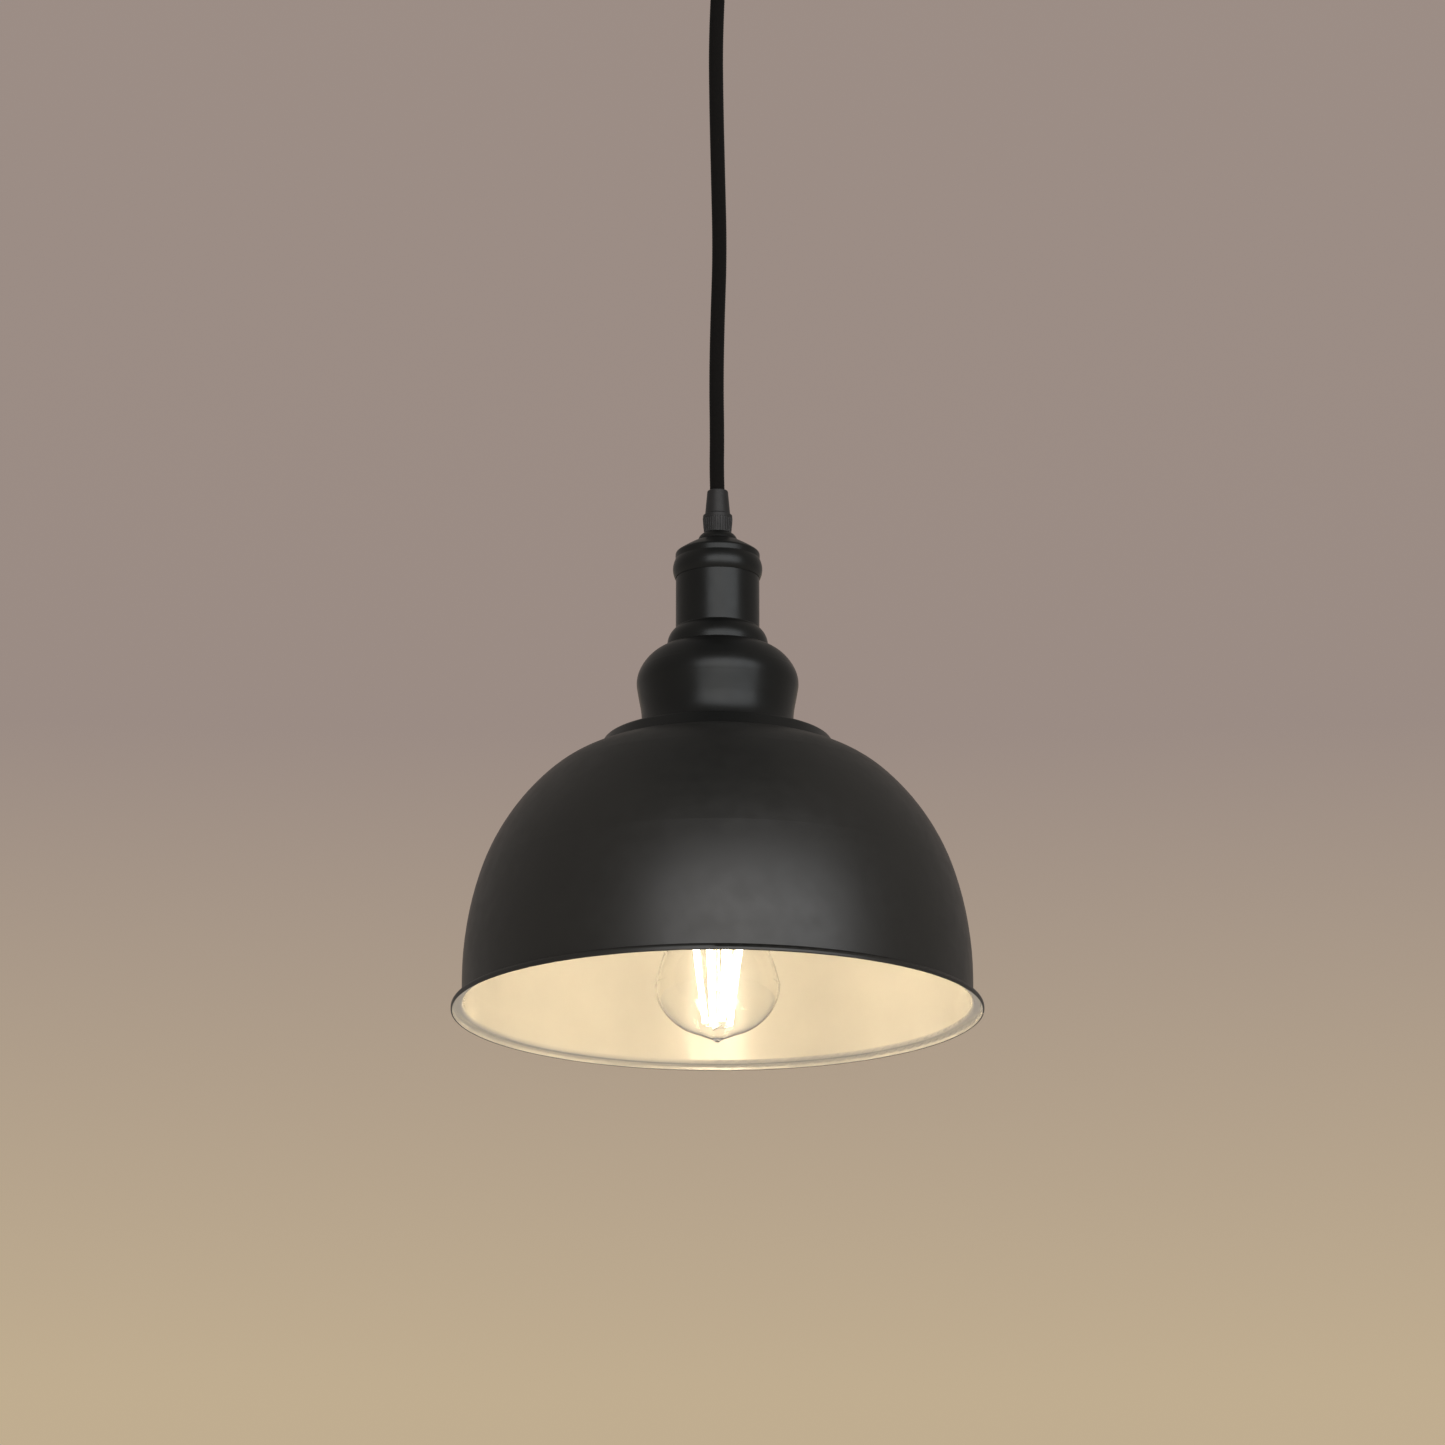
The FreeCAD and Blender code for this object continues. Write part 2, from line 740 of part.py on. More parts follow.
def make_earth_ring():
    foot = -strap_thick - 0.9
    ring = bored(foot, foot + 0.8, 3.4, earth_screw_r + clear)
    ring.translate(at(earth_screw_x, 0))
    tongue = Part.makeBox(3.0, 6.0, 0.8, at(earth_screw_x - 1.5, foot, -8.6))
    return ring.fuse(tongue).removeSplitter()


def block_wells(radius, depth, low):
    """Upright cylinders at the block's six clamping screws."""
    wells = []
    for k in (-1, 0, 1):
        for y in (-0.225 * block_depth, 0.225 * block_depth):
            wells.append(Part.makeCylinder(radius, depth, at(k * block_pitch, low, y)))
    return wells


def make_block():
    low = -strap_thick - block_height
    corner = at(-block_length / 2, low, -block_depth / 2)
    block = Part.makeBox(block_length, block_depth, block_height, corner)
    for k in (-1, 0, 1):
        start = at(k * block_pitch, low + block_bore_up, -block_depth / 2 - 1)
        bore = Part.makeCylinder(block_bore_r, block_depth + 2, start, FreeCAD.Vector(0, 1, 0))
        block = block.cut(bore)
    for well in block_wells(block_bore_r, block_bore_up, low):
        block = block.cut(well)
    return block


def make_block_screws():
    return block_wells(block_bore_r - clear, 2.4, -strap_thick - block_height - 0.4)


def make_nipple():
    return bored(-canopy_depth - nipple_reach, canopy_tail_top, tube_r, tube_bore_r)


def make_canopy_nut():
    return hexagon(nut_flats, -canopy_depth + canopy_wall + clear, nut_height, bore_r)


# Lampholder

def make_holder_body():
    inner = holder_r - holder_wall
    mouth = shell_bore_r + shell_wall + 1.0
    floor = mouth_up + 4.0
    line = Outline(mouth, mouth_up)
    line.line(holder_r - 0.8, mouth_up)
    line.line(holder_r, mouth_up + 0.8)
    line.line(holder_r, body_top)
    line.line(inner + 1.2, body_top)
    line.line(inner + 1.2, insert_top + 0.5)
    line.line(inner, insert_top + 0.5)
    line.line(inner, floor)
    line.line(mouth, floor)
    return lifted(line.turn())


def make_holder_ring():
    foot = mouth_up + ring_up
    inner = holder_r + clear
    step = foot + ring_height - 2.0
    line = Outline(inner, foot)
    line.line(inner + 1.7, foot)
    line.line(inner + 1.7, step)
    line.line(ring_r, step)
    line.line(ring_r, foot + ring_height)
    line.line(inner, foot + ring_height)
    return lifted(line.turn())


def make_holder_dome():
    foot = body_top + 0.05
    shoulder = foot + 0.41 * holder_dome_height
    inner = holder_r - holder_dome_wall
    neck = tube_r + 3.4
    line = Outline(inner, foot)
    line.line(holder_r, foot)
    line.line(holder_r, shoulder)
    line.arc((holder_r - 3.4, shoulder + 6.0), (neck, holder_top - 4.5))
    line.line(neck, holder_top)
    line.line(bore_r, holder_top)
    line.line(bore_r, holder_top - 6.2)
    line.line(neck - 1.0, holder_top - 6.2)
    line.arc((holder_r - 5.2, shoulder + 4.4), (inner, shoulder))
    return lifted(line.turn())


def make_insert():
    """Ceramic disc that carries the threaded shell, the contacts and the terminals."""
    disc = Part.makeCylinder(holder_r - holder_wall - clear, insert_height, at(0, insert_foot))
    disc = disc.cut(Part.makeCylinder(4.2, 4.6, at(0, insert_foot - 1.0)))
    well = Part.makeCylinder(terminal_r + clear, 6.0, at(terminal_circle_r, insert_top - 4.0, 4.0))
    for cut in around(well, 3):
        disc = disc.cut(cut)
    return lifted(disc)


def make_terminal_screws():
    screw = Part.makeCylinder(terminal_r, 4.4, at(terminal_circle_r, insert_top - 3.9, 4.0))
    return [lifted(s) for s in around(screw, 3)]


def thread_ridge(core_r, crest_r, half_width, bottom, turns):
    """A right-hand helical ridge between two radii, with a round crest."""
    helix = Part.makeHelix(pitch, pitch * turns, core_r)
    helix.translate(at(0, bottom))
    low = at(core_r, bottom - half_width)
    high = at(core_r, bottom + half_width)
    crest = at(crest_r, bottom)
    section = Part.Wire([Part.Arc(low, crest, high).toShape(), Part.LineSegment(high, low).toShape()])
    return Part.Wire(helix.Edges).makePipeShell([section], True, True)


def make_thread_shell():
    """The holder's brass shell; its ridge stands half a pitch from the bulb's."""
    shell = bored(mouth_up + 4.2, insert_foot, shell_bore_r + shell_wall, shell_bore_r)
    first = screw_foot + 1.9 + 1.5 * pitch
    ridge = thread_ridge(shell_bore_r + 0.2, thread_inner_r, 0.85, first, 3.0)
    return lifted(shell.fuse(ridge))


def make_centre_contact():
    foot = contact_up + 0.3
    plate = Part.makeCylinder(3.8, 0.6, at(0, foot))
    rivet = Part.makeCylinder(2.0, insert_foot + 3.5 - foot, at(0, foot))
    return lifted(rivet.fuse(plate).removeSplitter())


# Bulb

def make_bulb_contact():
    foot = contact_up - 2.2
    line = Outline(0, foot)
    line.line(4.6, foot)
    line.line(4.6, foot + 0.7)
    line.arc((3.6, foot + 1.7), (1.5, contact_up))
    line.line(0, contact_up)
    return lifted(line.turn())


def make_bulb_insulator():
    foot = screw_top + 0.05
    top = contact_up - 2.25
    line = Outline(0, foot)
    line.line(thread_root_r - 0.9, foot)
    line.line(thread_root_r - 2.7, foot + 0.6)
    line.line(5.4, top)
    line.line(0, top)
    return lifted(line.turn())


def make_bulb_cap():
    wall = 0.6
    root = thread_root_r
    line = Outline(glass_neck_r - 0.25, screw_foot)
    line.line(glass_neck_r - 0.25 + wall, screw_foot)
    line.line(root, screw_foot + 1.2)
    line.line(root, screw_top)
    line.line(root - 2.1, screw_top)
    line.line(root - 2.1, screw_top - wall)
    line.line(root - wall, screw_top - wall)
    line.line(root - wall, screw_foot + 1.2)
    ridge = thread_ridge(root - 0.3, thread_crest_r, 1.25, screw_foot + 1.9 + pitch, 3.6)
    return lifted(line.turn().fuse(ridge))


def bulb_flank(offset):
    """Points of the bulb's flank from its neck down to the widest place."""
    wide = bulb_r - offset
    neck = glass_neck_r - 0.4 - offset
    span = screw_foot - 0.1 - bulb_wide_up
    shares = ((0.0, 1.0), (0.053, 0.82), (0.172, 0.62), (0.381, 0.42), (0.588, 0.26), (0.869, 0.1))
    points = [(neck + (wide - neck) * out, bulb_wide_up + span * rise) for out, rise in shares]
    return points + [(wide, bulb_wide_up)]


def bulb_bowl(offset):
    """Points of the bulb's lower end from the widest place down to its drawn-out tip."""
    wide = bulb_r - offset
    deep = bulb_wide - tip_height - offset
    angles = (67.5, 45.0, 30.0, 19.0)
    points = [(wide * sin(radians(a)), bulb_wide_up - deep * cos(radians(a))) for a in angles]
    low = bulb_wide_up - deep
    return points + [(0.17 * wide, low - 0.2 * tip_height), (0.085 * wide, low - 0.55 * tip_height)]


def make_bulb_glass():
    outer = bulb_flank(0.0)
    inner = bulb_flank(glass_wall)
    bowl = bulb_bowl(glass_wall)
    line = Outline(*outer[0])
    line.curve(outer[1:])
    line.curve(bulb_bowl(0.0) + [(0.9, bulb_tip_up + 0.1)])
    line.line(0.5, bulb_tip_up)
    line.line(0, bulb_tip_up)
    line.line(0, bowl[-1][1])
    line.line(*bowl[-1])
    line.curve(list(reversed(bowl[:-1])) + [inner[-1]])
    line.curve(list(reversed(inner[:-1])))
    return lifted(line.turn())


def make_bulb_stem():
    """Glass stem: a flare in the neck, a tube, and a thin rod that holds the wires."""
    rod_foot = stick_low[1] + 15.0
    neck = screw_foot - 4.7
    line = Outline(0, rod_foot)
    line.line(0.9, rod_foot)
    line.line(0.9, neck - 28.8)
    line.line(3.0, neck - 25.8)
    line.line(3.0, neck - 10.8)
    line.arc((5.0, neck - 4.8), (9.5, neck - 0.8))
    line.line(9.5, neck)
    line.arc((4.4, neck - 3.4), (1.6, neck - 8.8))
    line.line(0, neck - 8.8)
    return lifted(line.turn())


def make_filaments():
    low = at(*stick_low)
    high = at(*stick_high)
    stick = Part.makeCylinder(stick_r, low.distanceToPoint(high), low, high - low)
    return [lifted(s) for s in around(stick, stick_count, stick_turn)]


def rod(start, end, radius=0.3):
    return Part.makeCylinder(radius, start.distanceToPoint(end), start, end - start)


def make_filament_wires():
    """The wire from each filament's top to the stem, and the star that joins the lower ends."""
    lean = at(*stick_high) - at(*stick_low)
    lean.normalize()
    head = at(*stick_high) + lean * 0.1
    tip = head + lean * 4.0
    root = at(3.2, screw_foot - 29.5)
    upper = rod(head, tip).fuse(Part.makeSphere(0.3, tip)).fuse(rod(tip, root))
    wires = around(upper.removeSplitter(), stick_count, stick_turn)
    foot = at(*stick_low) - lean * 0.1
    end = foot - lean * 1.5
    centre = at(0, end.z)
    spoke = rod(end, foot).fuse(Part.makeSphere(0.3, end)).fuse(rod(centre, end))
    star = rod(centre, at(0, stick_low[1] + 14.9)).fuse(Part.makeSphere(0.5, centre))
    for piece in around(spoke, stick_count, stick_turn):
        star = star.fuse(piece)
    wires.append(star.removeSplitter())
    return [lifted(w) for w in wires]


nodes = {
    "ceiling_strap": make_strap,
    "canopy": make_canopy,
    "canopy_screws": make_canopy_screws,
    "earth_screw": make_earth_screw,
    "earth_ring": make_earth_ring,
    "terminal_block": make_block,
    "block_screws": make_block_screws,
    "canopy_nipple": make_nipple,
    "canopy_nut": make_canopy_nut,
    "canopy_grip_body": lambda: under_canopy(grip_body()),
    "canopy_grip_nut": lambda: under_canopy(grip_nut()),
    "cord_tail_canopy": make_canopy_tail,
    "ceiling_wire_live": lambda: ceiling_wire(0),
    "ceiling_wire_earth": lambda: ceiling_wire(1),
    "ceiling_wire_neutral": lambda: ceiling_wire(2),
    "cord_bend": make_cord_bend,
    "cord": make_cord,
    "grip_nut": lambda: on_lamp(grip_nut()),
    "grip_body": lambda: on_lamp(grip_body()),
    "grip_collar": make_collar,
    "socket_cap": make_cap,
    "socket_sleeve": make_sleeve,
    "threaded_tube": make_threaded_tube,
    "stack_washer": make_stack_washer,
    "lock_nut": make_lock_nut,
    "shade_neck": make_neck,
    "neck_studs": make_neck_studs,
    "shade": make_shade,
    "shade_washers": make_shade_washers,
    "shade_nuts": make_shade_nuts,
    "cord_tail_lamp": make_lamp_tail,
    "lamp_wire_live": lambda: lamp_wire(0),
    "lamp_wire_earth": lambda: lamp_wire(120),
    "lamp_wire_neutral": lambda: lamp_wire(240),
    "holder_dome": make_holder_dome,
    "holder_body": make_holder_body,
    "holder_ring": make_holder_ring,
    "holder_insert": make_insert,
    "terminal_screws": make_terminal_screws,
    "thread_shell": make_thread_shell,
    "centre_contact": make_centre_contact,
    "bulb_contact": make_bulb_contact,
    "bulb_insulator": make_bulb_insulator,
    "bulb_cap": make_bulb_cap,
    "bulb_glass": make_bulb_glass,
    "bulb_stem": make_bulb_stem,
    "filaments": make_filaments,
    "filament_wires": make_filament_wires,
}

os.makedirs("parts", exist_ok=True)
for name, make in nodes.items():
    made = make()
    shape = Part.makeCompound(made) if isinstance(made, list) else made
    if not shape.isValid():
        print("not valid:", name)
    shape.exportStep("parts/%s.step" % name)
print(len(nodes), "nodes")
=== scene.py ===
import json
import math

import bpy
import numpy as np
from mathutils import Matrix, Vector


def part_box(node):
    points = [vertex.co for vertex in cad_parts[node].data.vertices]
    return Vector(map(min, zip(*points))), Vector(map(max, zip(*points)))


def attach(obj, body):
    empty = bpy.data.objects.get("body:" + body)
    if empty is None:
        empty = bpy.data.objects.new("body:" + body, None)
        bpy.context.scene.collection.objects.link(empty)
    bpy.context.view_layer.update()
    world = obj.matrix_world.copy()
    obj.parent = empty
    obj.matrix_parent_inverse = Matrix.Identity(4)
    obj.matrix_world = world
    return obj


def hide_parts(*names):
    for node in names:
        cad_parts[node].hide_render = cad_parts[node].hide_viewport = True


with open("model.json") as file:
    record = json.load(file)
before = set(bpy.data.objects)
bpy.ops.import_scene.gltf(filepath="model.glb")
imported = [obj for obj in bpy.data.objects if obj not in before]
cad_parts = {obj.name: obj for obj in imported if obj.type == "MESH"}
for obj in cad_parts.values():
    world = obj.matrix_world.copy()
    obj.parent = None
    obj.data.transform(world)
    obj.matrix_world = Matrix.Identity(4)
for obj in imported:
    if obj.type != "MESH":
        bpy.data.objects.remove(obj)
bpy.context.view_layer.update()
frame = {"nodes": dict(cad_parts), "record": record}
scene = bpy.context.scene
nodes = frame["nodes"]
MM = 0.001

CAMERA_LENS = 144.5
CAMERA_PLACE = (0.0023, -2.612, -1.1677)
CAMERA_PITCH = 106.0

# Control points of the cord, in millimetres, from the canopy's grip down to the lamp's grip.
CORD_ROUTE = (
    (0.0, 0.0, -51.1),
    (-1.0, 0.3, -74.0),
    (-0.7, 0.5, -106.0),
    (0.1, 0.2, -143.0),
    (1.05, -0.3, -184.0),
    (-0.1, -0.5, -219.0),
    (-0.65, -0.2, -250.0),
    (-0.25, 0.2, -278.0),
    (-0.5, 0.1, -296.0),
    (0.0, 0.0, -308.7),
)
CORD_R = 3.5 * MM
STRANDS = 16

FLOOR_HEIGHT = -2.5
FLOOR_HALF = 60.0
# Stage colour against height of the view direction, from level to straight up.
SKY = (
    (0.24, (0.53, 0.42, 0.28)),
    (0.34, (0.328, 0.262, 0.232)),
    (0.47, (0.335, 0.269, 0.238)),
    (0.62, (0.22, 0.20, 0.18)),
    (1.0, (0.12, 0.12, 0.12)),
)
SIDE_SKY = (0.27, 0.248, 0.23)


# ---------------------------------------------------------------- camera

def place_camera():
    """A long lens from below, in front of the lamp."""
    data = bpy.data.cameras.new("camera")
    data.sensor_width = 36.0
    data.lens = CAMERA_LENS
    data.clip_start = 0.05
    data.clip_end = 50.0
    camera = bpy.data.objects.new("camera", data)
    camera.location = CAMERA_PLACE
    camera.rotation_euler = (math.radians(CAMERA_PITCH), 0.0, 0.0)
    scene.collection.objects.link(camera)
    scene.camera = camera


# ---------------------------------------------------------------- materials

# Most of a noise lies between these values.
NOISE_LOW = 0.3
NOISE_HIGH = 0.7


class Shader:
    """A principled material with object coordinates ready for its textures."""

    def __init__(self, name, colour, rough, metallic=0.0):
        self.material = bpy.data.materials.new(name)
        self.material.use_nodes = True
        self.tree = self.material.node_tree
        self.principled = self.tree.nodes["Principled BSDF"]
        self.coordinates = self.tree.nodes.new("ShaderNodeTexCoord").outputs["Object"]
        self.colour = colour
        self.rough = rough
        self.set("Base Color", (*colour, 1.0))
        self.set("Roughness", rough)
        self.set("Metallic", metallic)

    def set(self, socket, value):
        self.principled.inputs[socket].default_value = value
        return self

    def node(self, kind, **values):
        """A node with some of its sockets set."""
        node = self.tree.nodes.new(kind)
        for key, value in values.items():
            node.inputs[key].default_value = value
        return node

    def link(self, output, target):
        self.tree.links.new(output, target)

    def noise(self, scale, detail, stretch=(1, 1, 1)):
        """Noise over the object's own coordinates."""
        mapping = self.node("ShaderNodeMapping", Scale=stretch)
        self.link(self.coordinates, mapping.inputs["Vector"])
        noise = self.node("ShaderNodeTexNoise", Scale=scale, Detail=detail)
        self.link(mapping.outputs["Vector"], noise.inputs["Vector"])
        return noise.outputs["Fac"]

    def spread(self, source, low, high):
        """A noise stretched between two values."""
        node = self.node("ShaderNodeMapRange")
        node.inputs["From Min"].default_value = NOISE_LOW
        node.inputs["From Max"].default_value = NOISE_HIGH
        node.inputs["To Min"].default_value = low
        node.inputs["To Max"].default_value = high
        self.link(source, node.inputs["Value"])
        return node.outputs["Result"]

    def mottled(self, scale, amount):
        """The colour varies a little over the surface."""
        ramp = self.node("ShaderNodeValToRGB")
        low, high = ramp.color_ramp.elements
        low.position = NOISE_LOW
        high.position = NOISE_HIGH
        low.color = (*[c * (1 - amount) for c in self.colour], 1.0)
        high.color = (*[min(1.0, c * (1 + amount)) for c in self.colour], 1.0)
        self.link(self.noise(scale, 4.0), ramp.inputs["Fac"])
        self.link(ramp.outputs["Color"], self.principled.inputs["Base Color"])
        return self

    def uneven(self, scale, amount, stretch=(1, 1, 1)):
        """The roughness varies a little over the surface."""
        result = self.spread(self.noise(scale, 3.0, stretch), self.rough - amount, self.rough + amount)
        self.link(result, self.principled.inputs["Roughness"])
        return self

    def grained(self, scale, height, stretch=(1, 1, 1), detail=2.0):
        """Fine bump of a given height in metres."""
        bump = self.node("ShaderNodeBump", Strength=1.0, Distance=height)
        self.link(self.noise(scale, detail, stretch), bump.inputs["Height"])
        self.link(bump.outputs["Normal"], self.principled.inputs["Normal"])
        return self


def enamel_black():
    shader = Shader("satin_black_enamel", (0.0046, 0.0048, 0.0044), 0.33)
    shader.set("Specular IOR Level", 0.40).set("Specular Tint", (0.94, 0.98, 1.0, 1.0))
    return shader.mottled(60.0, 0.12).uneven(140.0, 0.03).grained(1500.0, 0.000005).material


def shade_black():
    """The shade's coat is rougher than that of the turned parts above it."""
    shader = Shader("powder_coat", (0.0060, 0.0059, 0.0046), 0.42)
    shader.set("Specular IOR Level", 0.74)
    return shader.mottled(60.0, 0.12).uneven(120.0, 0.03).grained(1300.0, 0.000006).material


def enamel_cream():
    shader = Shader("cream_enamel", (0.82, 0.78, 0.69), 0.16)
    shader.set("Coat Weight", 0.6).set("Coat Roughness", 0.07)
    return shader.mottled(45.0, 0.02).uneven(120.0, 0.02).grained(1100.0, 0.000008).material


def grip_plastic():
    shader = Shader("grip_plastic", (0.016, 0.016, 0.017), 0.46)
    return shader.mottled(220.0, 0.10).uneven(400.0, 0.05).grained(3500.0, 0.000008).material


def textile():
    shader = Shader("braided_textile", (0.0026, 0.0019, 0.0015), 0.9)
    shader.set("Sheen Weight", 0.03).set("Sheen Roughness", 0.5).set("Specular IOR Level", 0.25)
    return shader.mottled(900.0, 0.45).grained(5200.0, 0.00003, (1, 1, 0.35), 4.0).material


def zinc():
    shader = Shader("zinc_plate", (0.60, 0.60, 0.58), 0.34, 1.0)
    return shader.mottled(260.0, 0.10).uneven(320.0, 0.09).grained(2400.0, 0.000006).material


def brass():
    shader = Shader("turned_brass", (0.74, 0.55, 0.26), 0.27, 1.0)
    shader.mottled(300.0, 0.08).uneven(500.0, 0.07, (1, 1, 12))
    return shader.grained(900.0, 0.000004, (1, 1, 9)).material


def nickel():
    shader = Shader("nickel_plate", (0.66, 0.64, 0.60), 0.26, 1.0)
    shader.mottled(280.0, 0.06).uneven(400.0, 0.08, (1, 1, 10))
    return shader.grained(1100.0, 0.000004, (1, 1, 8)).material


def moulded(name, colour, rough, grain=2600.0):
    shader = Shader(name, colour, rough)
    return shader.mottled(240.0, 0.05).uneven(300.0, 0.04).grained(grain, 0.000007).material


def solder():
    shader = Shader("tinned_contact", (0.58, 0.58, 0.56), 0.38, 1.0)
    return shader.mottled(700.0, 0.12).uneven(500.0, 0.12).grained(650.0, 0.00004).material


def clear_glass():
    shader = Shader("clear_glass", (0.985, 0.985, 0.975), 0.02)
    shader.set("Transmission Weight", 1.0).set("IOR", 1.47)
    return shader.grained(38.0, 0.00006, detail=1.0).material


def filament_glow():
    shader = Shader("lit_filament", (1.0, 0.78, 0.42), 0.5)
    shader.set("Emission Color", (0.92, 0.775, 0.56, 1.0)).set("Emission Strength", 30.0)
    return shader.mottled(900.0, 0.06).grained(2600.0, 0.00002).material


def finish_nodes():
    """Every CAD node gets the finish of its material slot; the finishes are returned by slot."""
    made = {
        "black_enamel": enamel_black(),
        "grip_plastic": grip_plastic(),
        "cord_textile": textile(),
        "zinc_steel": zinc(),
        "brass": brass(),
        "white_plastic": moulded("terminal_plastic", (0.74, 0.74, 0.70), 0.32),
        "holder_plastic": moulded("holder_plastic", (0.020, 0.020, 0.020), 0.38),
        "ceramic": moulded("glazed_ceramic", (0.80, 0.79, 0.74), 0.18, 500.0),
        "wire_brown": moulded("brown_insulation", (0.14, 0.05, 0.022), 0.36),
        "wire_blue": moulded("blue_insulation", (0.03, 0.11, 0.42), 0.36),
        "wire_green": moulded("green_insulation", (0.10, 0.36, 0.06), 0.36),
        "solder": solder(),
        "nickel": nickel(),
        "black_glass": moulded("black_vitrite", (0.012, 0.012, 0.014), 0.12, 400.0),
        "clear_glass": clear_glass(),
        "filament": filament_glow(),
    }
    for part in frame["record"]["subparts"]:
        mesh = nodes[part["node"]].data
        mesh.materials.clear()
        mesh.materials.append(made[part["material_slot"]])
    return made


def line_shade_with_cream():
    """The shade's inner face and the inside of its rolled lip are cream; the lip's cut edge is black."""
    mesh = nodes["shade"].data
    mesh.materials.clear()
    mesh.materials.append(shade_black())
    mesh.materials.append(enamel_cream())
    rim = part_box("shade")[0].z
    lip_top = rim + 3.8 * MM
    bare_edge = rim + 0.5 * MM
    for face in mesh.polygons:
        centre = face.center
        outward = face.normal.x * centre.x + face.normal.y * centre.y
        radius = math.hypot(centre.x, centre.y)
        side = outward / radius  # 1 where the face looks away from the axis, -1 towards it
        if centre.z > lip_top:
            inside = side < 0 and face.normal.z < 0.98
        elif centre.z > bare_edge:
            inside = side < -0.05 or face.normal.z < -0.45
        else:
            inside = side < -0.75
        face.material_index = 1 if inside else 0


# ---------------------------------------------------------------- cord

def route_points(route, step):
    """Even points along the route's smooth spline."""
    curve = bpy.data.curves.new("route", "CURVE")
    curve.dimensions = "3D"
    spline = curve.splines.new("NURBS")
    spline.points.add(len(route) - 1)
    for point, place in zip(spline.points, route):
        point.co = (*[c * MM for c in place], 1.0)
    spline.order_u = 3
    spline.use_endpoint_u = True
    spline.resolution_u = 24
    holder = bpy.data.objects.new("route", curve)
    mesh = bpy.data.meshes.new_from_object(holder)
    fine = np.array([v.co for v in mesh.vertices])
    bpy.data.objects.remove(holder)
    bpy.data.meshes.remove(mesh)
    lengths = np.concatenate(([0.0], np.cumsum(np.linalg.norm(np.diff(fine, axis=0), axis=1))))
    wanted = np.linspace(0.0, lengths[-1], int(lengths[-1] / step) + 1)
    return np.stack([np.interp(wanted, lengths, fine[:, k]) for k in range(3)], axis=1), wanted


def braid_height(angle, along, radius):
    """Relief of a one-over-one braid of two families of strands, 0 to about 1."""
    lay = 2 * math.pi * radius / STRANDS
    across = STRANDS * angle / (2 * math.pi)
    a = across + along / lay
    b = across - along / lay
    wave_a = np.sin(math.pi * b + math.pi * np.floor(a))
    wave_b = -np.sin(math.pi * a + math.pi * np.floor(b))
    crown_a = np.abs(np.sin(math.pi * a)) ** 0.6
    crown_b = np.abs(np.sin(math.pi * b)) ** 0.6
    yarn_a = 1 + 0.10 * np.cos(6 * math.pi * a)
    yarn_b = 1 + 0.10 * np.cos(6 * math.pi * b)
    return np.maximum(crown_a * yarn_a * (0.62 + 0.38 * wave_a), crown_b * yarn_b * (0.62 + 0.38 * wave_b))


def tube_mesh(name, rings):
    """A smooth mesh from rings of equal size, closed by a fan at each end."""
    count, around = rings.shape[:2]
    points = rings.reshape(-1, 3)
    faces = []
    for i in range(count - 1):
        row = i * around
        for j in range(around):
            k = (j + 1) % around
            faces.append((row + j, row + k, row + around + k, row + around + j))
    points = np.vstack([points, rings[0].mean(axis=0), rings[-1].mean(axis=0)])
    centre = count * around
    last = (count - 1) * around
    for j in range(around):
        k = (j + 1) % around
        faces.append((centre, k, j))
        faces.append((centre + 1, last + j, last + k))
    mesh = bpy.data.meshes.new(name)
    mesh.from_pydata([tuple(p) for p in points], [], faces)
    mesh.update()
    mesh.polygons.foreach_set("use_smooth", [True] * len(mesh.polygons))
    piece = bpy.data.objects.new(name, mesh)
    scene.collection.objects.link(piece)
    return piece


def make_cord(finish):
    """The braided cord follows the route; its strands are real relief."""
    step = 0.28 * MM
    around = 144
    depth = 0.28 * MM
    path, along = route_points(CORD_ROUTE, step)
    tangent = np.gradient(path, axis=0)
    tangent /= np.linalg.norm(tangent, axis=1)[:, None]
    side = np.cross(tangent, (0.0, 1.0, 0.0))
    side /= np.linalg.norm(side, axis=1)[:, None]
    other = np.cross(tangent, side)
    angle = np.linspace(0.0, 2 * math.pi, around, endpoint=False)
    grid_angle, grid_along = np.meshgrid(angle, along)
    height = braid_height(grid_angle, grid_along, CORD_R)
    radius = CORD_R - depth + depth * height
    rings = (path[:, None, :]
             + radius[..., None] * (np.cos(grid_angle)[..., None] * side[:, None, :]
                                    + np.sin(grid_angle)[..., None] * other[:, None, :]))
    cord = tube_mesh("braided_cord", rings)
    cord.data.materials.append(finish)
    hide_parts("cord")
    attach(cord, "hanging_cord")


def make_bend(finish):
    """The braided stretch that bends in the mouth of the canopy's grip."""
    low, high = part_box("cord_bend")
    centre = (low + high) / 2
    radius = (high.z - low.z) / 2
    depth = 0.26 * MM
    angle = np.linspace(0.0, 2 * math.pi, 96, endpoint=False)
    pole = 0.04
    lean = np.linspace(pole, math.pi - pole, 56)
    grid_angle, grid_lean = np.meshgrid(angle, lean)
    height = braid_height(grid_angle, -radius * np.cos(grid_lean), radius)
    r = radius - depth + depth * height * np.sin(grid_lean)
    rings = np.stack([centre.x + r * np.sin(grid_lean) * np.cos(grid_angle),
                      centre.y + r * np.sin(grid_lean) * np.sin(grid_angle),
                      centre.z - r * np.cos(grid_lean)], axis=-1)
    bend = tube_mesh("braided_bend", rings)
    bend.data.materials.append(finish)
    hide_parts("cord_bend")
    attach(bend, "pivot")


# ---------------------------------------------------------------- stage and light

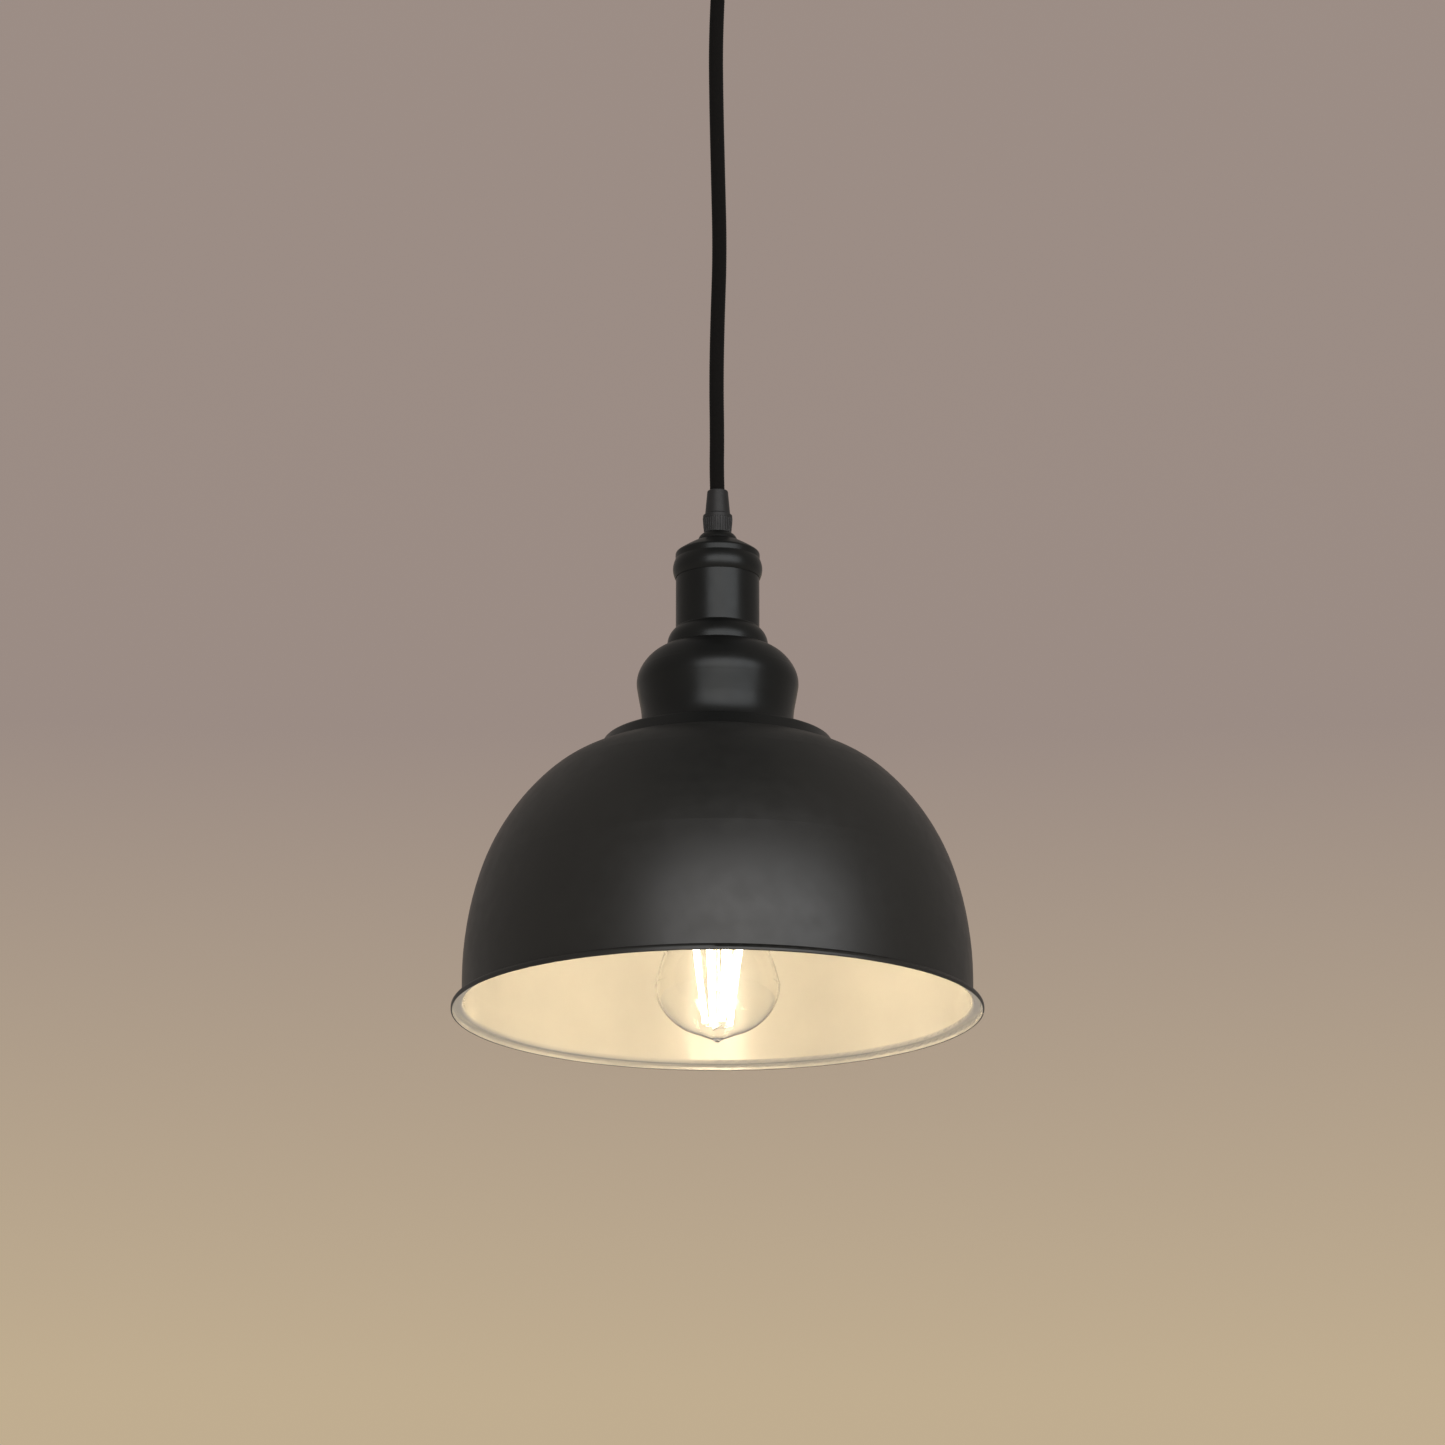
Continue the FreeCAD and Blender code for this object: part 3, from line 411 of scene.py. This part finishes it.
def make_floor():
    mesh = bpy.data.meshes.new("floor")
    signs = ((-1, -1), (1, -1), (1, 1), (-1, 1))
    corners = [(x * FLOOR_HALF, y * FLOOR_HALF, FLOOR_HEIGHT) for x, y in signs]
    mesh.from_pydata(corners, [], [(0, 1, 2, 3)])
    floor = bpy.data.objects.new("floor", mesh)
    scene.collection.objects.link(floor)
    shader = Shader("pale_floor", (0.80, 0.77, 0.73), 0.7)
    shader.set("Emission Color", (1.0, 0.93, 0.84, 1.0)).set("Emission Strength", 0.16)
    mesh.materials.append(shader.mottled(3.0, 0.02).grained(60.0, 0.0002).material)


def area_light(name, place, target, size, power, colour):
    data = bpy.data.lights.new(name, "AREA")
    data.shape = "RECTANGLE"
    data.size, data.size_y = size
    data.energy = power
    data.color = colour
    light = bpy.data.objects.new(name, data)
    light.location = place
    aim = Vector(target) - Vector(place)
    light.rotation_mode = "QUATERNION"
    light.rotation_quaternion = aim.to_track_quat("-Z", "Y")
    light.visible_camera = False
    scene.collection.objects.link(light)


def map_range(tree, source, low, high):
    """The source from low to high becomes 0 to 1."""
    node = tree.nodes.new("ShaderNodeMapRange")
    node.inputs["From Min"].default_value = low
    node.inputs["From Max"].default_value = high
    tree.links.new(source, node.inputs["Value"])
    return node.outputs["Result"]


def make_sky():
    """A soft stage, warm near the floor and darker overhead, and plain grey to the sides."""
    world = bpy.data.worlds.new("studio")
    world.use_nodes = True
    tree = world.node_tree
    background = tree.nodes["Background"]
    split = tree.nodes.new("ShaderNodeSeparateXYZ")
    tree.links.new(tree.nodes.new("ShaderNodeTexCoord").outputs["Generated"], split.inputs["Vector"])
    ramp = tree.nodes.new("ShaderNodeValToRGB")
    stops = ramp.color_ramp.elements
    while len(stops) < len(SKY):
        stops.new(0.5)
    for stop, (place, colour) in zip(stops, SKY):
        stop.position = place
        stop.color = (*colour, 1.0)
    tree.links.new(map_range(tree, split.outputs["Z"], -0.1, 1.0), ramp.inputs["Fac"])
    sideways = tree.nodes.new("ShaderNodeMath")
    sideways.operation = "ABSOLUTE"
    tree.links.new(split.outputs["X"], sideways.inputs[0])
    blend = tree.nodes.new("ShaderNodeMixRGB")
    blend.inputs["Color2"].default_value = (*SIDE_SKY, 1.0)
    tree.links.new(map_range(tree, sideways.outputs["Value"], 0.2, 0.5), blend.inputs["Fac"])
    tree.links.new(ramp.outputs["Color"], blend.inputs["Color1"])
    tree.links.new(blend.outputs["Color"], background.inputs["Color"])
    background.inputs["Strength"].default_value = 1.0
    scene.world = world


def light_the_stage():
    make_sky()
    area_light("window", (0.52, -1.93, 0.06), (0.0, 0.0, 0.0), (3.6, 1.38), 34.0, (0.98, 0.99, 1.0))


def let_light_through():
    """The glass casts no shadow, so the filaments light the shade evenly."""
    for glass in ("bulb_glass", "bulb_stem"):
        nodes[glass].visible_shadow = False


def tone():
    scene.view_settings.view_transform = "Standard"
    scene.view_settings.look = "None"


place_camera()
finishes = finish_nodes()
line_shade_with_cream()
make_cord(finishes["cord_textile"])
make_bend(finishes["cord_textile"])
let_light_through()
make_floor()
light_the_stage()
tone()
